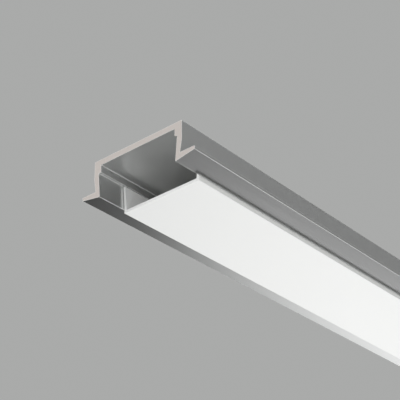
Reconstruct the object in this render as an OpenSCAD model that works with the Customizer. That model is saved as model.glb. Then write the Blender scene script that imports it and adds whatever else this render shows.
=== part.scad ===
// Recessed aluminium profile for a light strip, with a slide-in opal cover.
// Its channel opens downwards, and two thin flanges hide the edges of the slot that it is set in.
// X runs across the profile, Y along it and Z up, in millimetres.
// The origin is under the middle of the length, at the height of the cover's lower face.

/* [Length] */
// Length of the aluminium profile
profile_len = 200; // [170:5:400]
// How far the cover's front end stands back from the profile's front end
cover_back = 8.6; // [0:0.2:20]

/* [Aluminium section] */
// Width over the two side walls
outer_w = 28.6; // [24:0.1:36]
// Thickness of the web that carries the strip
web_t = 1.6; // [1.2:0.1:2.2]
// Thickness of a side wall above its ledge
wall_t = 2.2; // [1.9:0.1:3]
// How far the ledge stands into the channel past the wall below it
ledge_w = 0.75; // [0.5:0.05:1]
// Depth of the ledge's underside below the profile's top face
ledge_depth = 3.7; // [3.2:0.1:4.4]
// How much nearer the middle a wall's inner face is at the mouth than at the ledge
inner_lean = 0.57; // [0.3:0.01:0.8]
// Depth at which a wall's outer face starts to lean in
kink_depth = 5.2; // [4.5:0.1:6.5]
// How far the outer face has leaned in where it meets the flange
outer_lean = 0.56; // [0.2:0.02:0.7]
// Depth of the flange's upper face below the profile's top face
flange_depth = 8.75; // [8.2:0.05:9.2]
// How far a flange reaches out past the side wall
flange_reach = 3.85; // [3:0.05:8]
// Thickness of a flange at its outer tip
flange_tip_t = 0.88; // [0.6:0.02:1.1]
// Depth of the channel's mouth below the profile's top face
mouth_depth = 10.65; // [10.4:0.05:12]

/* [Cover] */
// Thickness of the cover's flat face
face_t = 0.75; // [0.6:0.05:1.2]
// Thickness of a leg where it meets the face
leg_root_t = 0.76; // [0.6:0.02:1.2]
// Thickness of a leg at its tip
leg_tip_t = 0.68; // [0.5:0.02:0.9]
// How far the cover's face stands out of the channel's mouth
cover_proud = 1.08; // [0.6:0.02:1.6]
// Gap between the cover and each wall at the mouth
mouth_play = 0.15; // [0.1:0.01:0.4]
// Gap between a leg's tip and the wall beside it
tip_play = 0.1; // [0.05:0.01:0.3]
// Gap between a leg's tip and the ledge above it
ledge_play = 0.2; // [0.1:0.05:0.5]

/* [Strip] */
// Width of the flexible circuit board
board_w = 10; // [8:0.5:12]
// Thickness of the flexible circuit board
board_t = 0.22; // [0.15:0.01:0.3]
// Width of the adhesive tape behind the board
tape_w = 9.4; // [7:0.1:10]
// Thickness of the adhesive tape
tape_t = 0.18; // [0.1:0.01:0.25]
// Length between two lines where the strip may be cut
segment_len = 25; // [22:1:28]
// Such lengths in the strip
segment_count = 6; // [1:1:6]
// Lights in one such length
leds_per_segment = 3; // [1:1:3]

/* [Lights] */
// Size of a light's housing along the strip
led_len = 3.5; // [2.8:0.1:3.6]
// Size of a light's housing across the strip
led_w = 2.8; // [2:0.1:3.5]
// Height of a light's housing
led_h = 0.8; // [0.6:0.05:1]
// Width of the rim around a light's glowing window
led_rim = 0.3; // [0.2:0.05:0.5]
// Depth of the cup that holds the phosphor
led_cup = 0.5; // [0.3:0.05:0.55]
// Size of the cut corner that marks a light's negative end
led_mark = 0.5; // [0.3:0.05:0.7]
// How far the phosphor's surface lies inside the rim
phosphor_sink = 0.05; // [0.02:0.01:0.1]

/* [Resistors and pads] */
// Size of a resistor across the strip
resistor_w = 3.2; // [1.6:0.1:3.5]
// Size of a resistor along the strip
resistor_len = 1.6; // [0.8:0.1:1.8]
// Height of a resistor
resistor_h = 0.55; // [0.4:0.05:0.6]
// Bare board between a segment's first light and its resistor
resistor_gap = 1.6; // [0.5:0.1:1.8]
// Width of a solder pad
pad_w = 2.4; // [1.5:0.1:3]
// Length of a solder pad over a cutting line
pad_len = 3; // [2:0.1:3.4]
// Thickness of a solder pad
pad_t = 0.05; // [0.03:0.01:0.1]
// Distance from a solder pad to the board's long edge
pad_inset = 0.6; // [0.3:0.1:0.9]

/* [Edges] */
// Radius of the profile's outer edges
edge_r = 0.1; // [0.05:0.05:0.2]
// Radius of the profile's inner corners
fillet_r = 0.15; // [0.05:0.05:0.25]
// Radius inside the cover between its face and its legs
cover_fillet_r = 0.2; // [0.1:0.05:0.6]
// Radius of the edges at a leg's tip
tip_r = 0.2; // [0.05:0.05:0.24]
// Flats that make up each small radius
arc_flats = 4; // [2:1:6]

/* [Hidden] */
half_w = outer_w / 2;
top_z = mouth_depth + cover_proud;
mouth_z = top_z - mouth_depth;
ledge_z = top_z - ledge_depth;
web_z = top_z - web_t;
flange_z = top_z - flange_depth;

// Half widths of the channel, from its top to its mouth
channel_half = half_w - wall_t;
below_ledge_half = channel_half + ledge_w;
mouth_half = below_ledge_half - inner_lean;

// The cover follows the walls with a small gap on every side
cover_half = mouth_half - mouth_play;
leg_top_z = ledge_z - ledge_play;
lean_per_mm = inner_lean / (mouth_depth - ledge_depth);
leg_top_half = below_ledge_half - lean_per_mm * ledge_play - tip_play;
cover_len = profile_len - cover_back;

// The strip hangs from the web in layers, each lying on the one above
tape_z = web_z - tape_t;
board_z = tape_z - board_t;
led_z = board_z - led_h;
strip_len = segment_count * segment_len;
led_count = segment_count * leds_per_segment;
led_pitch = segment_len / leds_per_segment;
pad_x = board_w / 2 - pad_inset - pad_w / 2;

strip_parts = ["adhesive_tape", "strip_board", "solder_pads"];
led_bodies = [for (i = [1 : led_count]) str("led_body_", i)];
led_windows = [for (i = [1 : led_count]) str("led_phosphor_", i)];
resistors = [for (i = [1 : segment_count]) str("resistor_", i)];

function unit(v) = v / norm(v);

// Arc that rounds corner b of an outline between its neighbours a and c
function corner_arc(a, b, c, r) =
    let (
        u = unit(a - b),
        v = unit(c - b),
        half_angle = acos(u * v) / 2,
        centre = b + unit(u + v) * r / sin(half_angle),
        from = b + u * r / tan(half_angle) - centre,
        turn = sign(u[0] * v[1] - u[1] * v[0]) * (2 * half_angle - 180)
    )
    [for (k = [0 : arc_flats])
        let (angle = turn * k / arc_flats)
        centre + [
            from[0] * cos(angle) - from[1] * sin(angle),
            from[0] * sin(angle) + from[1] * cos(angle)
        ]
    ];

// Outline through corners given as [x, z, radius], where radius 0 keeps the corner sharp
function rounded_outline(corners) =
    let (n = len(corners))
    [for (i = [0 : n - 1])
        let (
            before = corners[(i + n - 1) % n],
            here = corners[i],
            after = corners[(i + 1) % n],
            arc = here[2] > 0
                ? corner_arc([before[0], before[1]], [here[0], here[1]], [after[0], after[1]], here[2])
                : [[here[0], here[1]]]
        )
        each arc
    ];

// Whole outline from the corners of its right half, listed from the top to the bottom
function both_sides(right) =
    concat(right, [for (i = [len(right) - 1 : -1 : 0]) [-right[i][0], right[i][1], right[i][2]]]);

// Bar along Y with the section drawn in X and Z, from its front end
module bar(front_y, length, corners) {
    translate([0, front_y + length, 0])
        rotate([90, 0, 0])
            linear_extrude(height = length)
                polygon(rounded_outline(both_sides(corners)));
}

// Block centred on a place in the strip, hanging from height z
module block(x, y, z, size) {
    translate([x - size[0] / 2, y - size[1] / 2, z - size[2]])
        cube(size);
}

module aluminium_profile() {
    color([0.66, 0.66, 0.65])
        bar(-profile_len / 2, profile_len, [
            [half_w, top_z, edge_r],
            [half_w, top_z - kink_depth, 0],
            [half_w - outer_lean, flange_z, fillet_r],
            [half_w + flange_reach, flange_z, edge_r],
            [half_w + flange_reach, flange_z - flange_tip_t, edge_r],
            [mouth_half, mouth_z, edge_r],
            [below_ledge_half, ledge_z, fillet_r],
            [channel_half, ledge_z, edge_r],
            [channel_half, web_z, fillet_r]
        ]);
}

module diffuser_cover() {
    color([0.95, 0.95, 0.94])
        bar(cover_back - profile_len / 2, cover_len, [
            [cover_half - leg_root_t, face_t, cover_fillet_r],
            [leg_top_half - leg_tip_t, leg_top_z, tip_r],
            [leg_top_half, leg_top_z, tip_r],
            [cover_half, mouth_z, 0],
            [cover_half, 0, edge_r]
        ]);
}

module adhesive_tape() {
    color([0.93, 0.9, 0.8])
        block(0, 0, web_z, [tape_w, strip_len, tape_t]);
}

module strip_board() {
    color([0.96, 0.96, 0.94])
        block(0, 0, tape_z, [board_w, strip_len, board_t]);
}

// Distance along the strip from its front end, as a place on Y
function along(distance) = distance - strip_len / 2;

// Two pads at each cutting line, cut off level with the board at its two ends
module solder_pads() {
    color([0.8, 0.78, 0.74])
        for (line = [0 : segment_count], side = [-1, 1]) {
            front = max(0, line * segment_len - pad_len / 2);
            back = min(strip_len, line * segment_len + pad_len / 2);
            block(side * pad_x, along((front + back) / 2), board_z, [pad_w, back - front, pad_t]);
        }
}

function led_y(i) = along((i - 0.5) * led_pitch);

// Housing with a shallow cup for the phosphor and one cut corner
module led_body(i) {
    color([0.92, 0.92, 0.88])
        difference() {
            block(0, led_y(i), board_z, [led_w, led_len, led_h]);
            block(0, led_y(i), led_z + led_cup, [led_w - 2 * led_rim, led_len - 2 * led_rim, 2 * led_cup]);
            translate([led_w / 2, led_y(i) + led_len / 2, led_z])
                rotate([0, 0, 45])
                    cube([led_mark * sqrt(2) / 2, led_mark * 2, led_h], center = true);
        }
}

module led_phosphor(i) {
    color([0.95, 0.85, 0.35])
        block(0, led_y(i), led_z + led_cup,
            [led_w - 2 * led_rim, led_len - 2 * led_rim, led_cup - phosphor_sink]);
}

// One resistor in each segment, behind its first light
function resistor_y(i) =
    led_y((i - 1) * leds_per_segment + 1) + led_len / 2 + resistor_gap + resistor_len / 2;

module resistor(i) {
    color([0.1, 0.1, 0.1])
        block(0, resistor_y(i), board_z, [resistor_w, resistor_len, resistor_h]);
}

aluminium_profile();
diffuser_cover();
adhesive_tape();
strip_board();
solder_pads();
for (i = [1 : led_count])
    led_body(i);
for (i = [1 : led_count])
    led_phosphor(i);
for (i = [1 : segment_count])
    resistor(i);
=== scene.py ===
"""Finishes and studio of a recessed aluminium light strip profile with an opal cover."""

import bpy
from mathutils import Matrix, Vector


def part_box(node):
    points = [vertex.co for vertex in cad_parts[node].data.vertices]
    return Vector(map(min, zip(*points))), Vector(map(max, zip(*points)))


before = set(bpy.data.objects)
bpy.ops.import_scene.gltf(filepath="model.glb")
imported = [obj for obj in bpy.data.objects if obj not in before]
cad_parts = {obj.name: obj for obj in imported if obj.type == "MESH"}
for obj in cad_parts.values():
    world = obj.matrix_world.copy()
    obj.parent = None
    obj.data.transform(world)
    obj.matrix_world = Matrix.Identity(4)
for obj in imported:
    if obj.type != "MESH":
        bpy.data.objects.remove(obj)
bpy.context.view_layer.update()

import math

import bpy
from bpy.props import FloatProperty, FloatVectorProperty, PointerProperty
from mathutils import Matrix, Vector

bl_info = {
    "name": "Light Strip Profile",
    "version": (1, 0, 0),
    "blender": (4, 5, 0),
    "location": "3D View > Sidebar > Light Profile",
    "description": "Finishes a recessed aluminium profile, its opal cover and its light strip",
    "category": "Object",
}

LED_COUNT = sum(name.startswith("led_body_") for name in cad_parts)
RESISTOR_COUNT = sum(name.startswith("resistor_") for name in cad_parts)
BOARD_LOW, BOARD_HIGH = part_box("strip_board")
CUT_PITCH = (BOARD_HIGH.y - BOARD_LOW.y) / RESISTOR_COUNT

# How much slower the drawn lines change along the part than across it
LINE_STRETCH = 0.004
# How far the saw marks climb for each metre across, and how often they waver in a metre
MARK_LEAN = 0.22
MARK_WAVER = 60.0
# Layers of finer noise in the drawn lines, the saw marks and the cloudy colours
LINE_DETAIL = 2.0
MARK_DETAIL = 3.0
CLOUD_DETAIL = 4.0
# A face counts as a cut end when its normal has at least this share along Y
CUT_SQUARE = 0.7
# How sharply the painted edge highlight sets in at an edge, and how slanted a small round is where it
# starts
EDGE_HIGHLIGHT_GAIN = 8.0
EDGE_HIGHLIGHT_SLANT = 0.2
BEVEL_SAMPLES = 6
# How much the die lines vary the skin's blur
LINE_BLUR = 0.08
# Share of the metal's shine that its bare cut lacks
CUT_DULL = 0.75

# Each lamp's name, azimuth and elevation in degrees, distance and size in metres, and brightness setting
LAMPS = (
    ("key_light", 35, -27, 3.0, (0.70, 0.46), "key"),
    ("second_key_light", 25, -21, 3.0, (0.70, 0.46), "second"),
    ("low_light", 170, -62, 1.5, (1.6, 1.1), "below"),
    ("near_light", -150, -38, 1.8, (2.6, 1.2), "near"),
    ("end_light", 150, 34, 2.4, (3.0, 2.0), "end"),
    ("top_light", 0, 80, 2.0, (2.4, 2.4), "top"),
)


def colour(label, note, value):
    """A colour that a user can pick."""
    return FloatVectorProperty(
        name=label, description=note, subtype="COLOR", size=3, min=0, max=1, default=value,
    )


def length(label, note, value):
    """A length in metres that a user can set."""
    return FloatProperty(name=label, description=note, unit="LENGTH", precision=5, default=value)


def share(label, note, value):
    """A share from 0 to 1 that a user can set."""
    return FloatProperty(name=label, description=note, subtype="FACTOR", min=0, max=1, default=value)


def amount(label, note, value):
    """A plain number that a user can set."""
    return FloatProperty(name=label, description=note, default=value)


def angle(label, note, degrees):
    """An angle that a user can set."""
    return FloatProperty(name=label, description=note, subtype="ANGLE", default=math.radians(degrees))


class ProfileFinish(bpy.types.PropertyGroup):
    """Finish of the aluminium extrusion."""

    skin: colour("Anodised skin", "Colour of the anodised long faces", (0.806, 0.812, 0.810))
    skin_roughness: share("Skin roughness", "Blur of reflections in the anodised skin", 0.32)
    line_spacing: length("Die line spacing", "Typical distance between the die's fine lines", 0.00018)
    line_depth: length("Die line depth", "Depth of the die's fine lines", 0.0000004)
    # The next three settings paint a highlight along the edges: a pale, less metallic band that stands in
    # for the light caught by the small rounds and sharp edges.
    edge_width: length("Edge width", "How far the brighter wear reaches from an edge", 0.00016)
    painted_highlight_strength: share("Edge highlight strength", "How much of the anodised skin is worn off the edges", 1.0)
    edge: colour("Edge highlight colour", "Colour of the metal along its edges", (0.93, 0.93, 0.92))
    cut: colour("Sawn metal", "Colour of the bare metal at the sawn ends", (0.59, 0.54, 0.51))
    cut_roughness: share("Sawn roughness", "Blur of reflections in the sawn ends", 0.55)
    tooth_spacing: length("Tooth mark spacing", "Distance between the marks of the saw's teeth", 0.00025)
    tooth_depth: length("Tooth mark depth", "Depth of the marks of the saw's teeth", 0.000004)


class CoverFinish(bpy.types.PropertyGroup):
    """Finish of the opal cover."""

    opal: colour("Opal white", "Colour of the opal plastic", (0.96, 0.96, 0.955))
    cut: colour("Sawn plastic", "Colour of the plastic at its sawn ends", (0.94, 0.94, 0.935))
    roughness: share("Roughness", "Blur of reflections in the plastic", 0.38)
    cut_roughness: share("Sawn roughness", "Blur of reflections in its sawn ends", 0.58)
    line_spacing: length("Draw line spacing", "Distance between the faint lines along the plastic", 0.0006)
    line_depth: length("Draw line depth", "Depth of the faint lines along the plastic", 0.0000008)
    tooth_spacing: length("Tooth mark spacing", "Distance between the marks of the saw's teeth", 0.0004)
    tooth_depth: length("Tooth mark depth", "Depth of the marks of the saw's teeth", 0.000006)


class StripFinish(bpy.types.PropertyGroup):
    """Finish of the light strip."""

    tape: colour("Tape", "Colour of the adhesive tape", (0.80, 0.74, 0.60))
    board: colour("Board", "Colour of the white solder mask", (0.86, 0.86, 0.84))
    track: colour("Track", "Colour of the solder mask over a copper track", (0.74, 0.73, 0.67))
    cut_mark: colour("Cutting line", "Colour of the printed cutting line", (0.10, 0.10, 0.10))
    metal: colour("Tinned metal", "Colour of the tinned pads and terminals", (0.78, 0.76, 0.72))
    housing: colour("Housing", "Colour of a light's housing", (0.86, 0.86, 0.82))
    phosphor: colour("Phosphor", "Colour of a light's phosphor", (0.90, 0.66, 0.10))
    resistor: colour("Resistor", "Colour of a resistor's body", (0.02, 0.02, 0.022))
    track_offset: length("Track offset", "Distance of a track's middle from the board's middle", 0.0032)
    track_half: length("Track half-width", "Half the width of a track", 0.001)
    track_rise: length("Track rise", "How far the solder mask rises over a track", 0.00003)
    mark_half: length("Cutting line half-width", "Half the width of the printed cutting line", 0.00012)


class StudioSettings(bpy.types.PropertyGroup):
    """Camera, floor and lights."""

    lens: FloatProperty(name="Lens", description="Focal length", unit="CAMERA", default=100.03)
    camera_place: FloatVectorProperty(
        name="Camera place", description="Where the camera stands", subtype="TRANSLATION", unit="LENGTH",
        size=3, precision=5, default=(0.15637, -0.26272, -0.13495),
    )
    camera_turn: angle("Camera turn", "Turn of the view away from the profile's length", 40.05)
    camera_rise: angle("Camera rise", "How far the camera looks up", 30.04)
    camera_roll: angle("Camera roll", "Turn of the camera about its own axis", -0.76)
    floor_drop: length("Floor drop", "Height of the profile above the floor", 1.6)
    floor_size: length("Floor size", "Width of the floor", 40.0)
    floor: colour("Floor", "Colour of the floor", (0.90, 0.905, 0.90))
    backdrop: colour("Backdrop", "Colour behind the profile", (0.40, 0.405, 0.40))
    fill: colour("Fill light", "Colour of the even light from all round", (0.66, 0.665, 0.66))
    screen: colour("Dark screens", "Colour of the screens that lower faces mirror", (0.012, 0.012, 0.012))
    card: colour("Grey card", "Colour of the card that the right side mirrors", (0.30, 0.30, 0.30))
    key: amount("Key light", "Brightness of the small light that the flanges mirror", 4.7)
    second: amount("Second key light", "Brightness of the light beside the key light", 3.5)
    below: amount("Low light", "Brightness of the light under the profile", 0.4)
    near: amount("Near light", "Brightness of the low light before the near end", 0.28)
    end: amount("End light", "Brightness of the light on the sawn end", 0.8)
    top: amount("Top light", "Brightness of the light from above", 0.45)


def new_group(name, inputs, outputs):
    """An empty shader node group with named sockets, and its two end nodes."""
    group = bpy.data.node_groups.new(name, "ShaderNodeTree")
    for label, kind, value in inputs:
        socket = group.interface.new_socket(name=label, in_out="INPUT", socket_type=kind)
        socket.default_value = value
    for label, kind in outputs:
        group.interface.new_socket(name=label, in_out="OUTPUT", socket_type=kind)
    return group, group.nodes.new("NodeGroupInput"), group.nodes.new("NodeGroupOutput")


def add_node(tree, kind, **fields):
    """A node of one kind, with its own fields set."""
    node = tree.nodes.new(kind)
    for field, value in fields.items():
        setattr(node, field, value)
    return node


def add_math(tree, operation, first, second=0.5):
    """A math node on two values, each a socket or a number, and its result."""
    node = add_node(tree, "ShaderNodeMath", operation=operation)
    for place, value in enumerate((first, second)):
        if isinstance(value, (int, float)):
            node.inputs[place].default_value = value
        else:
            tree.links.new(value, node.inputs[place])
    return node.outputs[0]


def clamped(socket):
    """The same result, held between 0 and 1."""
    socket.node.use_clamp = True
    return socket


def add_mix(tree, factor, first, second):
    """A colour mix of two colours, each a socket or a colour, and its result."""
    node = add_node(tree, "ShaderNodeMix", data_type="RGBA")
    for name, value in (("Factor_Float", factor), ("A_Color", first), ("B_Color", second)):
        socket = next(s for s in node.inputs if s.identifier == name)
        if isinstance(value, bpy.types.NodeSocket):
            tree.links.new(value, socket)
        elif name == "Factor_Float":
            socket.default_value = value
        else:
            socket.default_value = (*value, 1)
    return next(s for s in node.outputs if s.identifier == "Result_Color")


def long_lines_group():
    """Fine lines along Y, as a height from 0 to 1."""
    group, start, end = new_group("Long lines", [("Spacing", "NodeSocketFloat", 0.0002)],
                                  [("Height", "NodeSocketFloat")])
    place = add_node(group, "ShaderNodeTexCoord")
    per_metre = add_math(group, "DIVIDE", 1.0, start.outputs["Spacing"])
    along = add_math(group, "MULTIPLY", per_metre, LINE_STRETCH)
    scale = add_node(group, "ShaderNodeCombineXYZ")
    group.links.new(per_metre, scale.inputs["X"])
    group.links.new(along, scale.inputs["Y"])
    group.links.new(per_metre, scale.inputs["Z"])
    stretched = add_node(group, "ShaderNodeVectorMath", operation="MULTIPLY")
    group.links.new(place.outputs["Object"], stretched.inputs[0])
    group.links.new(scale.outputs[0], stretched.inputs[1])
    noise = add_node(group, "ShaderNodeTexNoise")
    noise.inputs["Scale"].default_value = 1.0
    noise.inputs["Detail"].default_value = LINE_DETAIL
    group.links.new(stretched.outputs[0], noise.inputs["Vector"])
    group.links.new(noise.outputs["Fac"], end.inputs["Height"])
    return group


def saw_marks_group():
    """Marks of a saw across a cut end, as a height from 0 to 1."""
    group, start, end = new_group("Saw marks", [("Spacing", "NodeSocketFloat", 0.0003)],
                                  [("Height", "NodeSocketFloat")])
    place = add_node(group, "ShaderNodeTexCoord")
    parts = add_node(group, "ShaderNodeSeparateXYZ")
    group.links.new(place.outputs["Object"], parts.inputs[0])
    lean = add_math(group, "MULTIPLY", parts.outputs["X"], MARK_LEAN)
    depth = add_math(group, "ADD", parts.outputs["Z"], lean)
    across = add_math(group, "DIVIDE", depth, start.outputs["Spacing"])
    run = add_math(group, "MULTIPLY", parts.outputs["X"], MARK_WAVER)
    vector = add_node(group, "ShaderNodeCombineXYZ")
    group.links.new(run, vector.inputs["X"])
    group.links.new(across, vector.inputs["Z"])
    noise = add_node(group, "ShaderNodeTexNoise")
    noise.inputs["Scale"].default_value = 1.0
    noise.inputs["Detail"].default_value = MARK_DETAIL
    group.links.new(vector.outputs[0], noise.inputs["Vector"])
    group.links.new(noise.outputs["Fac"], end.inputs["Height"])
    return group


def cut_end_group():
    """A mask that is 1 on faces square to Y and 0 on the long faces."""
    group, _, end = new_group("Cut end", [], [("Mask", "NodeSocketFloat")])
    place = add_node(group, "ShaderNodeTexCoord")
    parts = add_node(group, "ShaderNodeSeparateXYZ")
    group.links.new(place.outputs["Normal"], parts.inputs[0])
    square = add_math(group, "ABSOLUTE", parts.outputs["Y"])
    group.links.new(add_math(group, "GREATER_THAN", square, CUT_SQUARE), end.inputs["Mask"])
    return group


def edge_group():
    """A mask that is 1 on the small rounds along a part and rises to 1 at its sharp edges, where the
    painted edge highlight goes.
    """
    group, start, end = new_group("Edge", [("Width", "NodeSocketFloat", 0.0002)],
                                  [("Mask", "NodeSocketFloat")])
    bevel = add_node(group, "ShaderNodeBevel", samples=BEVEL_SAMPLES)
    group.links.new(start.outputs["Width"], bevel.inputs["Radius"])
    face = add_node(group, "ShaderNodeNewGeometry")
    likeness = add_node(group, "ShaderNodeVectorMath", operation="DOT_PRODUCT")
    group.links.new(bevel.outputs["Normal"], likeness.inputs[0])
    group.links.new(face.outputs["Normal"], likeness.inputs[1])
    gap = add_math(group, "SUBTRACT", 1.0, likeness.outputs["Value"])
    sharp = clamped(add_math(group, "MULTIPLY", gap, EDGE_HIGHLIGHT_GAIN))
    place = add_node(group, "ShaderNodeTexCoord")
    parts = add_node(group, "ShaderNodeSeparateXYZ")
    group.links.new(place.outputs["Normal"], parts.inputs[0])
    slant = add_math(group, "ABSOLUTE", add_math(group, "MULTIPLY", parts.outputs["X"], parts.outputs["Z"]))
    past = add_math(group, "SUBTRACT", slant, EDGE_HIGHLIGHT_SLANT)
    rounded = clamped(add_math(group, "MULTIPLY", past, EDGE_HIGHLIGHT_GAIN))
    group.links.new(add_math(group, "MAXIMUM", sharp, rounded), end.inputs["Mask"])
    return group


def end_cap_group():
    """A mask that is 1 near both ends of a part, where Along runs from 0 to 1."""
    group, start, end = new_group(
        "End caps", [("Along", "NodeSocketFloat", 0.5), ("Width", "NodeSocketFloat", 0.1)],
        [("Mask", "NodeSocketFloat")],
    )
    off_middle = add_math(group, "ABSOLUTE", add_math(group, "SUBTRACT", start.outputs["Along"], 0.5))
    limit = add_math(group, "SUBTRACT", 0.5, start.outputs["Width"])
    group.links.new(add_math(group, "GREATER_THAN", off_middle, limit), end.inputs["Mask"])
    return group


def mottle_group():
    """A colour with a faint cloudy variation."""
    group, start, end = new_group(
        "Mottle",
        [("Color", "NodeSocketColor", (0.8, 0.8, 0.8, 1)), ("Size", "NodeSocketFloat", 0.004),
         ("Amount", "NodeSocketFloat", 0.04)],
        [("Color", "NodeSocketColor")],
    )
    place = add_node(group, "ShaderNodeTexCoord")
    noise = add_node(group, "ShaderNodeTexNoise")
    noise.inputs["Detail"].default_value = CLOUD_DETAIL
    group.links.new(place.outputs["Object"], noise.inputs["Vector"])
    group.links.new(add_math(group, "DIVIDE", 1.0, start.outputs["Size"]), noise.inputs["Scale"])
    centred = add_math(group, "SUBTRACT", noise.outputs["Fac"], 0.5)
    swing = add_math(group, "MULTIPLY", centred, start.outputs["Amount"])
    gain = add_math(group, "ADD", swing, 1.0)
    scaled = add_node(group, "ShaderNodeVectorMath", operation="SCALE")
    group.links.new(start.outputs["Color"], scaled.inputs[0])
    group.links.new(gain, scaled.inputs["Scale"])
    group.links.new(scaled.outputs[0], end.inputs["Color"])
    return group


GROUP_MAKERS = {
    "Long lines": long_lines_group,
    "Saw marks": saw_marks_group,
    "Cut end": cut_end_group,
    "Edge": edge_group,
    "End caps": end_cap_group,
    "Mottle": mottle_group,
}


def place_group(tree, name, **values):
    """A shared effect placed in a material with its own values."""
    group = bpy.data.node_groups.get(name) or GROUP_MAKERS[name]()
    node = add_node(tree, "ShaderNodeGroup", node_tree=group)
    for label, value in values.items():
        node.inputs[label].default_value = (*value, 1) if label == "Color" else value
    return node


def new_material(name, roughness, metallic=0.0):
    """A material in place of a plain one of that name, with its node tree and its one shader."""
    plain = bpy.data.materials.get(name)
    if plain is not None:
        bpy.data.materials.remove(plain)
    material = bpy.data.materials.new(name)
    material.use_nodes = True
    tree = material.node_tree
    shader = tree.nodes["Principled BSDF"]
    shader.inputs["Roughness"].default_value = roughness
    shader.inputs["Metallic"].default_value = metallic
    return material, tree, shader


def add_bump(tree, height, distance, normal=None):
    """A bump of a height from 0 to 1 over a distance in metres, and its normal."""
    node = add_node(tree, "ShaderNodeBump")
    node.inputs["Strength"].default_value = 1.0
    node.inputs["Distance"].default_value = distance
    tree.links.new(height, node.inputs["Height"])
    if normal is not None:
        tree.links.new(normal, node.inputs["Normal"])
    return node.outputs["Normal"]


def dress(node_name, material):
    """Gives a part of the frame its finish."""
    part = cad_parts[node_name]
    part.data.materials.clear()
    part.data.materials.append(material)


def aluminium_material(look):
    """Satin anodised skin with die lines, a painted highlight along its edges, and bare sawn ends."""
    material, tree, shader = new_material("anodised_aluminium", look.skin_roughness, metallic=1.0)
    lines = place_group(tree, "Long lines", Spacing=look.line_spacing)
    marks = place_group(tree, "Saw marks", Spacing=look.tooth_spacing)
    mask = place_group(tree, "Cut end").outputs["Mask"]
    edges = place_group(tree, "Edge", Width=look.edge_width).outputs["Mask"]
    skin = place_group(tree, "Mottle", Color=look.skin, Size=0.006, Amount=0.03)
    cut = place_group(tree, "Mottle", Color=look.cut, Size=0.0009, Amount=0.10)
    plain = add_mix(tree, mask, skin.outputs["Color"], cut.outputs["Color"])
    # A pale band along the edges is a painted highlight for the light that the small rounds would catch.
    painted_edge_highlight = add_math(tree, "MULTIPLY", edges, look.painted_highlight_strength)
    tree.links.new(add_mix(tree, painted_edge_highlight, plain, look.edge), shader.inputs["Base Color"])
    skin_normal = add_bump(tree, lines.outputs["Height"], look.line_depth)
    tooth_height = add_math(tree, "MULTIPLY", marks.outputs["Height"], mask)
    tree.links.new(add_bump(tree, tooth_height, look.tooth_depth, skin_normal), shader.inputs["Normal"])
    streak = add_math(tree, "MULTIPLY", lines.outputs["Height"], LINE_BLUR)
    skin_blur = add_math(tree, "ADD", streak, look.skin_roughness - LINE_BLUR / 2)
    cut_blur = add_math(tree, "MULTIPLY", mask, look.cut_roughness - look.skin_roughness)
    tree.links.new(add_math(tree, "ADD", skin_blur, cut_blur), shader.inputs["Roughness"])
    # Less metal at the bare cut, and under the painted edge highlight so that it shows pale.
    dull = add_math(tree, "MAXIMUM", add_math(tree, "MULTIPLY", mask, CUT_DULL), painted_edge_highlight)
    tree.links.new(add_math(tree, "SUBTRACT", 1.0, dull), shader.inputs["Metallic"])
    return material


def opal_material(look):
    """Smooth opal plastic with faint draw lines and sawn ends."""
    material, tree, shader = new_material("opal_cover", look.roughness)
    mask = place_group(tree, "Cut end").outputs["Mask"]
    face = place_group(tree, "Mottle", Color=look.opal, Size=0.012, Amount=0.02)
    cut = place_group(tree, "Mottle", Color=look.cut, Size=0.001, Amount=0.06)
    tint = add_mix(tree, mask, face.outputs["Color"], cut.outputs["Color"])
    tree.links.new(tint, shader.inputs["Base Color"])
    lines = place_group(tree, "Long lines", Spacing=look.line_spacing)
    marks = place_group(tree, "Saw marks", Spacing=look.tooth_spacing)
    face_normal = add_bump(tree, lines.outputs["Height"], look.line_depth)
    tooth_height = add_math(tree, "MULTIPLY", marks.outputs["Height"], mask)
    tree.links.new(add_bump(tree, tooth_height, look.tooth_depth, face_normal), shader.inputs["Normal"])
    cut_blur = add_math(tree, "MULTIPLY", mask, look.cut_roughness - look.roughness)
    tree.links.new(add_math(tree, "ADD", cut_blur, look.roughness), shader.inputs["Roughness"])
    return material


def plain_material(name, tint, roughness, size, variation, metallic=0.0):
    """A finish of one cloudy colour."""
    material, tree, shader = new_material(name, roughness, metallic)
    mottle = place_group(tree, "Mottle", Color=tint, Size=size, Amount=variation)
    tree.links.new(mottle.outputs["Color"], shader.inputs["Base Color"])
    return material


def board_material(look, pitch):
    """White solder mask over two tracks, with a printed line where the strip may be cut."""
    material, tree, shader = new_material("white_board", roughness=0.35)
    place = add_node(tree, "ShaderNodeTexCoord")
    parts = add_node(tree, "ShaderNodeSeparateXYZ")
    tree.links.new(place.outputs["Object"], parts.inputs[0])
    off_middle = add_math(tree, "ABSOLUTE", parts.outputs["X"])
    off_lane = add_math(tree, "ABSOLUTE", add_math(tree, "SUBTRACT", off_middle, look.track_offset))
    on_track = add_math(tree, "LESS_THAN", off_lane, look.track_half)
    off_line = add_math(tree, "PINGPONG", parts.outputs["Y"], pitch / 2)
    on_line = add_math(tree, "LESS_THAN", off_line, look.mark_half)
    bare = place_group(tree, "Mottle", Color=look.board, Size=0.004, Amount=0.03)
    track = place_group(tree, "Mottle", Color=look.track, Size=0.002, Amount=0.05)
    masked = add_mix(tree, on_track, bare.outputs["Color"], track.outputs["Color"])
    tree.links.new(add_mix(tree, on_line, masked, look.cut_mark), shader.inputs["Base Color"])
    tree.links.new(add_bump(tree, on_track, look.track_rise), shader.inputs["Normal"])
    return material


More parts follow.
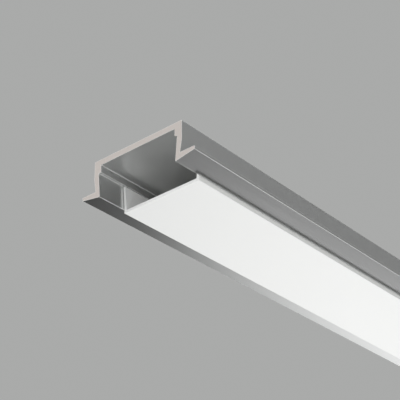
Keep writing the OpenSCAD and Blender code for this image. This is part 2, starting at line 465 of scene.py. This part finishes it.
def capped_material(name, body, metal, roughness, axis, width, above=-1.0):
    """A small part's body with a tinned terminal at each end along an axis, above a share of its height."""
    material, tree, shader = new_material(name, roughness)
    place = add_node(tree, "ShaderNodeTexCoord")
    parts = add_node(tree, "ShaderNodeSeparateXYZ")
    tree.links.new(place.outputs["Generated"], parts.inputs[0])
    caps = place_group(tree, "End caps", Width=width)
    tree.links.new(parts.outputs[axis], caps.inputs["Along"])
    high = add_math(tree, "GREATER_THAN", parts.outputs["Z"], above)
    mask = add_math(tree, "MULTIPLY", caps.outputs["Mask"], high)
    inner = place_group(tree, "Mottle", Color=body, Size=0.0006, Amount=0.06)
    outer = place_group(tree, "Mottle", Color=metal, Size=0.0004, Amount=0.15)
    tint = add_mix(tree, mask, inner.outputs["Color"], outer.outputs["Color"])
    tree.links.new(tint, shader.inputs["Base Color"])
    tree.links.new(mask, shader.inputs["Metallic"])
    return material


class LIGHTPROFILE_OT_extrusion(bpy.types.Operator):
    """Finish the aluminium extrusion"""

    bl_idname = "lightprofile.extrusion"
    bl_label = "Aluminium Extrusion"

    def execute(self, context):
        dress("aluminium_profile", aluminium_material(context.scene.profile_finish))
        return {"FINISHED"}


class LIGHTPROFILE_OT_cover(bpy.types.Operator):
    """Finish the opal cover"""

    bl_idname = "lightprofile.cover"
    bl_label = "Opal Cover"

    def execute(self, context):
        dress("diffuser_cover", opal_material(context.scene.cover_finish))
        return {"FINISHED"}


class LIGHTPROFILE_OT_strip(bpy.types.Operator):
    """Finish the tape, the circuit board and its pads"""

    bl_idname = "lightprofile.strip"
    bl_label = "Strip"

    def execute(self, context):
        look = context.scene.strip_finish
        tape = plain_material("tape", look.tape, roughness=0.6, size=0.003, variation=0.06)
        pads = plain_material(
            "tinned_copper", look.metal, roughness=0.45, size=0.0008, variation=0.12, metallic=0.6,
        )
        dress("adhesive_tape", tape)
        dress("strip_board", board_material(look, CUT_PITCH))
        dress("solder_pads", pads)
        return {"FINISHED"}


class LIGHTPROFILE_OT_lights(bpy.types.Operator):
    """Finish the lights' housings and phosphor"""

    bl_idname = "lightprofile.lights"
    bl_label = "Lights"

    def execute(self, context):
        look = context.scene.strip_finish
        housing = capped_material(
            "led_housing", look.housing, look.metal, roughness=0.4, axis="Y", width=0.09, above=0.35,
        )
        phosphor = plain_material("phosphor", look.phosphor, roughness=0.22, size=0.0006, variation=0.10)
        for number in range(1, LED_COUNT + 1):
            dress(f"led_body_{number}", housing)
            dress(f"led_phosphor_{number}", phosphor)
        return {"FINISHED"}


class LIGHTPROFILE_OT_resistors(bpy.types.Operator):
    """Finish the resistors"""

    bl_idname = "lightprofile.resistors"
    bl_label = "Resistors"

    def execute(self, context):
        look = context.scene.strip_finish
        body = capped_material("resistor", look.resistor, look.metal, roughness=0.35, axis="X", width=0.14)
        for number in range(1, RESISTOR_COUNT + 1):
            dress(f"resistor_{number}", body)
        return {"FINISHED"}


def towards(azimuth, elevation):
    """Direction at degrees to the left of +Y and above the horizon."""
    turn, rise = math.radians(azimuth), math.radians(elevation)
    return Vector((-math.sin(turn) * math.cos(rise), math.cos(turn) * math.cos(rise), math.sin(rise)))


def add_camera(look):
    """The camera, below the profile and looking up along it."""
    data = bpy.data.cameras.new("camera")
    data.lens = look.lens
    data.sensor_width = 36.0
    data.clip_start = 0.005
    data.clip_end = 100.0
    camera = bpy.data.objects.new("camera", data)
    bpy.context.scene.collection.objects.link(camera)
    turn = Matrix.Rotation(look.camera_turn, 4, "Z")
    rise = Matrix.Rotation(math.radians(90) + look.camera_rise, 4, "X")
    roll = Matrix.Rotation(look.camera_roll, 4, "Z")
    camera.matrix_world = Matrix.Translation(look.camera_place) @ turn @ rise @ roll
    bpy.context.scene.camera = camera


def add_floor(look):
    """A plain pale floor far below."""
    half = look.floor_size / 2
    mesh = bpy.data.meshes.new("floor")
    corners = [(-half, -half, 0), (half, -half, 0), (half, half, 0), (-half, half, 0)]
    mesh.from_pydata(corners, [], [(0, 1, 2, 3)])
    floor = bpy.data.objects.new("floor", mesh)
    floor.location.z = -look.floor_drop
    bpy.context.scene.collection.objects.link(floor)
    material, _, shader = new_material("floor", roughness=0.9)
    shader.inputs["Base Color"].default_value = (*look.floor, 1)
    shader.inputs["Specular IOR Level"].default_value = 0.0
    mesh.materials.append(material)


def add_lamp(name, azimuth, elevation, distance, size, brightness):
    """A soft box that faces the profile; its brightness is what a mirror shows, where 1 is white."""
    data = bpy.data.lights.new(name, "AREA")
    data.shape = "RECTANGLE"
    data.size, data.size_y = size
    data.energy = brightness * math.pi * data.size * data.size_y
    lamp = bpy.data.objects.new(name, data)
    lamp.location = towards(azimuth, elevation) * distance
    lamp.rotation_euler = (-lamp.location).to_track_quat("-Z", "Y").to_euler()
    lamp.visible_camera = False
    bpy.context.scene.collection.objects.link(lamp)


def add_screen(name, centre, facing, size, tint):
    """A flat screen that only mirrors show, as stands round a product on a photo table."""
    mesh = bpy.data.meshes.new(name)
    x, y = size[0] / 2, size[1] / 2
    mesh.from_pydata([(-x, -y, 0), (x, -y, 0), (x, y, 0), (-x, y, 0)], [], [(0, 1, 2, 3)])
    screen = bpy.data.objects.new(name, mesh)
    screen.location = centre
    screen.rotation_euler = facing.to_track_quat("Z", "Y").to_euler()
    screen.visible_camera = screen.visible_diffuse = screen.visible_shadow = False
    bpy.context.scene.collection.objects.link(screen)
    material, _, shader = new_material(name, roughness=1.0)
    shader.inputs["Base Color"].default_value = (*tint, 1)
    shader.inputs["Specular IOR Level"].default_value = 0.0
    mesh.materials.append(material)


def add_screens(look):
    """Two dark screens and a grey card, each where the metal mirrors it in the camera's view."""
    ahead, left, right = towards(40, 0), towards(68, 0), towards(-40, 30)
    just_over_floor = Vector((0, 0, 0.02 - look.floor_drop))
    below_level = Vector((0, 0, -0.6))
    add_screen("floor_screen", ahead * 2.3 + just_over_floor, Vector((0, 0, 1)), (5.6, 3.6), look.screen)
    add_screen("left_screen", left * 4.0 + below_level, -left, (3.0, 2.0), look.screen)
    add_screen("side_card", right * 2.4, -right, (2.4, 2.0), look.card)


def light_world(look):
    """Even light from all round; the camera and mirrors see the backdrop's colour in its place."""
    world = bpy.data.worlds.new("studio")
    bpy.context.scene.world = world
    world.use_nodes = True
    tree = world.node_tree
    path = add_node(tree, "ShaderNodeLightPath")
    mirrored = add_math(tree, "MAXIMUM", path.outputs["Is Glossy Ray"], path.outputs["Is Transmission Ray"])
    seen = add_math(tree, "MAXIMUM", path.outputs["Is Camera Ray"], mirrored)
    tree.links.new(add_mix(tree, seen, look.fill, look.backdrop), tree.nodes["Background"].inputs["Color"])


class LIGHTPROFILE_OT_stage(bpy.types.Operator):
    """Set up the camera, the floor and the studio light"""

    bl_idname = "lightprofile.stage"
    bl_label = "Stage"

    def execute(self, context):
        look = context.scene.studio_settings
        add_camera(look)
        add_floor(look)
        add_screens(look)
        for name, azimuth, elevation, distance, size, setting in LAMPS:
            add_lamp(name, azimuth, elevation, distance, size, getattr(look, setting))
        light_world(look)
        context.scene.view_settings.view_transform = "Standard"
        return {"FINISHED"}


OPERATORS = (
    LIGHTPROFILE_OT_stage,
    LIGHTPROFILE_OT_extrusion,
    LIGHTPROFILE_OT_cover,
    LIGHTPROFILE_OT_strip,
    LIGHTPROFILE_OT_lights,
    LIGHTPROFILE_OT_resistors,
)


class LIGHTPROFILE_PT_panel(bpy.types.Panel):
    """Steps that finish the light strip profile"""

    bl_label = "Light Strip Profile"
    bl_idname = "LIGHTPROFILE_PT_panel"
    bl_space_type = "VIEW_3D"
    bl_region_type = "UI"
    bl_category = "Light Profile"

    def draw(self, context):
        for operator in OPERATORS:
            self.layout.operator(operator.bl_idname, text=operator.bl_label)


SETTINGS = {
    "profile_finish": ProfileFinish,
    "cover_finish": CoverFinish,
    "strip_finish": StripFinish,
    "studio_settings": StudioSettings,
}
CLASSES = (*SETTINGS.values(), *OPERATORS, LIGHTPROFILE_PT_panel)


def register():
    """Adds the settings, the operators and the panel."""
    for cls in CLASSES:
        bpy.utils.register_class(cls)
    for name, cls in SETTINGS.items():
        setattr(bpy.types.Scene, name, PointerProperty(type=cls))


def unregister():
    """Takes the settings, the operators and the panel away."""
    for name in SETTINGS:
        delattr(bpy.types.Scene, name)
    for cls in reversed(CLASSES):
        bpy.utils.unregister_class(cls)


def main():
    """Runs every step in order."""
    register()
    bpy.ops.lightprofile.stage()
    bpy.ops.lightprofile.extrusion()
    bpy.ops.lightprofile.cover()
    bpy.ops.lightprofile.strip()
    bpy.ops.lightprofile.lights()
    bpy.ops.lightprofile.resistors()


if __name__ == "__main__":
    main()
